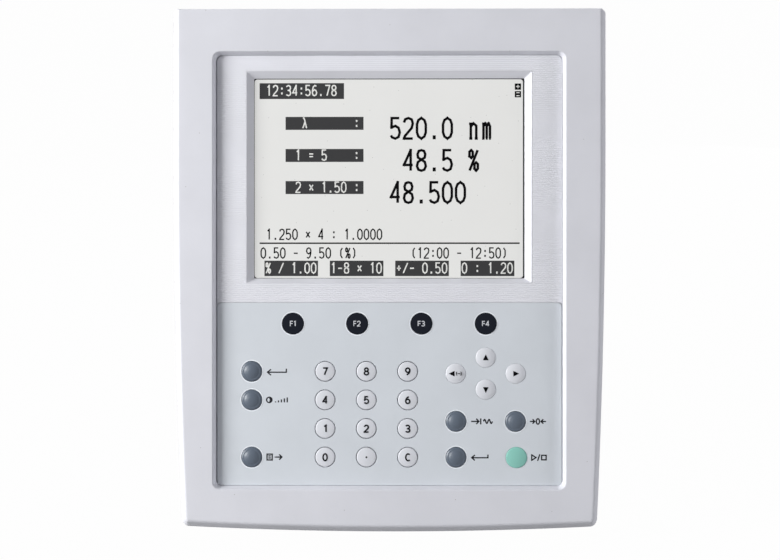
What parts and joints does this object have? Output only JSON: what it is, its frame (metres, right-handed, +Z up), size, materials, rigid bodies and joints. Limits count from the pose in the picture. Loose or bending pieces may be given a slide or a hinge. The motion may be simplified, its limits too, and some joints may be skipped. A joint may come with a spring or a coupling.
{
  "type": "uv spectrophotometer",
  "caption": "Compact bench-top spectrophotometer with a leaning operator panel, display, keypad, hinged sample lid and cell carriage.",
  "frame": {"origin": "centre of the instrument's base, on the surface that it stands on", "axes": "+X to the operator's right, +Y from the operator's panel to the rear, +Z up"},
  "size_m": [0.192, 0.3321, 0.2355],
  "materials": {
    "console_plastic": "fine moulded texture, warm to cool light grey",
    "display_glass": "clear, slight sheen",
    "dark_plastic": "satin black plastic",
    "keypad_plastic": "satin, cool light grey overlay",
    "black_key": "satin near-black navy",
    "light_key": "satin light grey",
    "slate_key": "satin slate grey",
    "green_key": "satin mint green",
    "circuit_board": "green solder mask",
    "cover_paint": "fine powder coat, light grey",
    "lid_paint": "fine powder coat, slate grey",
    "chassis_metal": "zinc-plated sheet",
    "bench_metal": "cast and milled aluminium",
    "steel": "ground steel",
    "black_anodised": "matte black anodised",
    "lamp_glass": "clear fused silica",
    "mirror_coating": "polished aluminium coating",
    "rubber": "matte black rubber"
  },
  "bodies": {
    "housing": {"console_shell": "console_plastic", "lcd_glass": "display_glass", "lcd_module": "dark_plastic", "keypad_panel": "keypad_plastic", "key_board": "circuit_board", "control_board": "circuit_board", "top_cover": "cover_paint", "chassis": "chassis_metal", "lid_hinge_pin": "steel", "sample_well": "black_anodised", "carriage_rails": "steel", "optical_bench": "bench_metal", "carriage_motor": "dark_plastic", "lamp_house": "chassis_metal", "deuterium_lamp": "lamp_glass", "halogen_lamp": "lamp_glass", "detector_block": "black_anodised", "power_supply": "chassis_metal", "fan_frame": "dark_plastic", "power_inlet": "dark_plastic", "foot_front_left": "rubber", "foot_front_right": "rubber", "foot_rear_left": "rubber", "foot_rear_right": "rubber"},
    "key_0": {"key_0": "light_key"},
    "key_1": {"key_1": "light_key"},
    "key_2": {"key_2": "light_key"},
    "key_3": {"key_3": "light_key"},
    "key_4": {"key_4": "light_key"},
    "key_5": {"key_5": "light_key"},
    "key_6": {"key_6": "light_key"},
    "key_7": {"key_7": "light_key"},
    "key_8": {"key_8": "light_key"},
    "key_9": {"key_9": "light_key"},
    "key_point": {"key_point": "light_key"},
    "key_clear": {"key_clear": "light_key"},
    "key_f1": {"key_f1": "black_key"},
    "key_f2": {"key_f2": "black_key"},
    "key_f3": {"key_f3": "black_key"},
    "key_f4": {"key_f4": "black_key"},
    "key_return": {"key_return": "slate_key"},
    "key_contrast": {"key_contrast": "slate_key"},
    "key_print": {"key_print": "slate_key"},
    "key_up": {"key_up": "light_key"},
    "key_down": {"key_down": "light_key"},
    "key_left": {"key_left": "light_key"},
    "key_right": {"key_right": "light_key"},
    "key_goto": {"key_goto": "slate_key"},
    "key_auto_zero": {"key_auto_zero": "slate_key"},
    "key_enter": {"key_enter": "slate_key"},
    "key_start_stop": {"key_start_stop": "green_key"},
    "lid": {"sample_lid": "lid_paint"},
    "carriage": {"cell_carriage": "black_anodised"},
    "lead_screw": {"carriage_screw": "steel"},
    "grating": {"grating_turntable": "steel", "diffraction_grating": "mirror_coating"},
    "lamp_selector": {"lamp_mirror": "mirror_coating"},
    "filters": {"filter_wheel": "steel"},
    "fan": {"fan_rotor": "dark_plastic"},
    "rocker": {"power_rocker": "dark_plastic"}
  },
  "joints": [
    {"name": "key_0_press", "type": "slide", "parent": "housing", "child": "key_0", "axis": [0, 0.9848, -0.1736], "range_m": [0, 0.0008], "stiffness_N_per_m": 1200},
    {"name": "key_1_press", "type": "slide", "parent": "housing", "child": "key_1", "axis": [0, 0.9848, -0.1736], "range_m": [0, 0.0008], "stiffness_N_per_m": 1200},
    {"name": "key_2_press", "type": "slide", "parent": "housing", "child": "key_2", "axis": [0, 0.9848, -0.1736], "range_m": [0, 0.0008], "stiffness_N_per_m": 1200},
    {"name": "key_3_press", "type": "slide", "parent": "housing", "child": "key_3", "axis": [0, 0.9848, -0.1736], "range_m": [0, 0.0008], "stiffness_N_per_m": 1200},
    {"name": "key_4_press", "type": "slide", "parent": "housing", "child": "key_4", "axis": [0, 0.9848, -0.1736], "range_m": [0, 0.0008], "stiffness_N_per_m": 1200},
    {"name": "key_5_press", "type": "slide", "parent": "housing", "child": "key_5", "axis": [0, 0.9848, -0.1736], "range_m": [0, 0.0008], "stiffness_N_per_m": 1200},
    {"name": "key_6_press", "type": "slide", "parent": "housing", "child": "key_6", "axis": [0, 0.9848, -0.1736], "range_m": [0, 0.0008], "stiffness_N_per_m": 1200},
    {"name": "key_7_press", "type": "slide", "parent": "housing", "child": "key_7", "axis": [0, 0.9848, -0.1736], "range_m": [0, 0.0008], "stiffness_N_per_m": 1200},
    {"name": "key_8_press", "type": "slide", "parent": "housing", "child": "key_8", "axis": [0, 0.9848, -0.1736], "range_m": [0, 0.0008], "stiffness_N_per_m": 1200},
    {"name": "key_9_press", "type": "slide", "parent": "housing", "child": "key_9", "axis": [0, 0.9848, -0.1736], "range_m": [0, 0.0008], "stiffness_N_per_m": 1200},
    {"name": "key_point_press", "type": "slide", "parent": "housing", "child": "key_point", "axis": [0, 0.9848, -0.1736], "range_m": [0, 0.0008], "stiffness_N_per_m": 1200},
    {"name": "key_clear_press", "type": "slide", "parent": "housing", "child": "key_clear", "axis": [0, 0.9848, -0.1736], "range_m": [0, 0.0008], "stiffness_N_per_m": 1200},
    {"name": "key_f1_press", "type": "slide", "parent": "housing", "child": "key_f1", "axis": [0, 0.9848, -0.1736], "range_m": [0, 0.0008], "stiffness_N_per_m": 1200},
    {"name": "key_f2_press", "type": "slide", "parent": "housing", "child": "key_f2", "axis": [0, 0.9848, -0.1736], "range_m": [0, 0.0008], "stiffness_N_per_m": 1200},
    {"name": "key_f3_press", "type": "slide", "parent": "housing", "child": "key_f3", "axis": [0, 0.9848, -0.1736], "range_m": [0, 0.0008], "stiffness_N_per_m": 1200},
    {"name": "key_f4_press", "type": "slide", "parent": "housing", "child": "key_f4", "axis": [0, 0.9848, -0.1736], "range_m": [0, 0.0008], "stiffness_N_per_m": 1200},
    {"name": "key_return_press", "type": "slide", "parent": "housing", "child": "key_return", "axis": [0, 0.9848, -0.1736], "range_m": [0, 0.0008], "stiffness_N_per_m": 1200},
    {"name": "key_contrast_press", "type": "slide", "parent": "housing", "child": "key_contrast", "axis": [0, 0.9848, -0.1736], "range_m": [0, 0.0008], "stiffness_N_per_m": 1200},
    {"name": "key_print_press", "type": "slide", "parent": "housing", "child": "key_print", "axis": [0, 0.9848, -0.1736], "range_m": [0, 0.0008], "stiffness_N_per_m": 1200},
    {"name": "key_up_press", "type": "slide", "parent": "housing", "child": "key_up", "axis": [0, 0.9848, -0.1736], "range_m": [0, 0.0008], "stiffness_N_per_m": 1200},
    {"name": "key_down_press", "type": "slide", "parent": "housing", "child": "key_down", "axis": [0, 0.9848, -0.1736], "range_m": [0, 0.0008], "stiffness_N_per_m": 1200},
    {"name": "key_left_press", "type": "slide", "parent": "housing", "child": "key_left", "axis": [0, 0.9848, -0.1736], "range_m": [0, 0.0008], "stiffness_N_per_m": 1200},
    {"name": "key_right_press", "type": "slide", "parent": "housing", "child": "key_right", "axis": [0, 0.9848, -0.1736], "range_m": [0, 0.0008], "stiffness_N_per_m": 1200},
    {"name": "key_goto_press", "type": "slide", "parent": "housing", "child": "key_goto", "axis": [0, 0.9848, -0.1736], "range_m": [0, 0.0008], "stiffness_N_per_m": 1200},
    {"name": "key_auto_zero_press", "type": "slide", "parent": "housing", "child": "key_auto_zero", "axis": [0, 0.9848, -0.1736], "range_m": [0, 0.0008], "stiffness_N_per_m": 1200},
    {"name": "key_enter_press", "type": "slide", "parent": "housing", "child": "key_enter", "axis": [0, 0.9848, -0.1736], "range_m": [0, 0.0008], "stiffness_N_per_m": 1200},
    {"name": "key_start_stop_press", "type": "slide", "parent": "housing", "child": "key_start_stop", "axis": [0, 0.9848, -0.1736], "range_m": [0, 0.0008], "stiffness_N_per_m": 1200},
    {"name": "lid_hinge", "type": "hinge", "parent": "housing", "child": "lid", "pos_m": [0, 0.0275, 0.223], "axis": [-1, 0, 0], "range_deg": [0, 100]},
    {"name": "carriage_slide", "type": "slide", "parent": "housing", "child": "carriage", "axis": [1, 0, 0], "range_m": [0, 0.048]},
    {"name": "lead_screw_turn", "type": "hinge", "parent": "housing", "child": "lead_screw", "pos_m": [0, -0.03, 0.1143], "axis": [1, 0, 0], "range_deg": [0, 2160]},
    {"name": "grating_turn", "type": "hinge", "parent": "housing", "child": "grating", "pos_m": [0, 0.122, 0.1043], "axis": [0, 0, 1], "range_deg": [-15, 15]},
    {"name": "lamp_selector_turn", "type": "hinge", "parent": "housing", "child": "lamp_selector", "pos_m": [0.066, 0.087, 0.1043], "axis": [0, 0, 1], "range_deg": [0, 90]},
    {"name": "filter_wheel_turn", "type": "hinge", "parent": "housing", "child": "filters", "pos_m": [-0.017, 0.023, 0.145], "axis": [0, 1, 0], "continuous": true},
    {"name": "fan_turn", "type": "hinge", "parent": "housing", "child": "fan", "pos_m": [0.054, 0.144, 0.16], "axis": [0, 1, 0], "continuous": true},
    {"name": "rocker_tip", "type": "hinge", "parent": "housing", "child": "rocker", "pos_m": [0.056, 0.161, 0.05925], "axis": [1, 0, 0], "range_deg": [0, 16]}
  ],
  "couplings": [
    {"joint": "lead_screw_turn", "follows": "carriage_slide", "rad_per_m": 785.39}
  ]
}
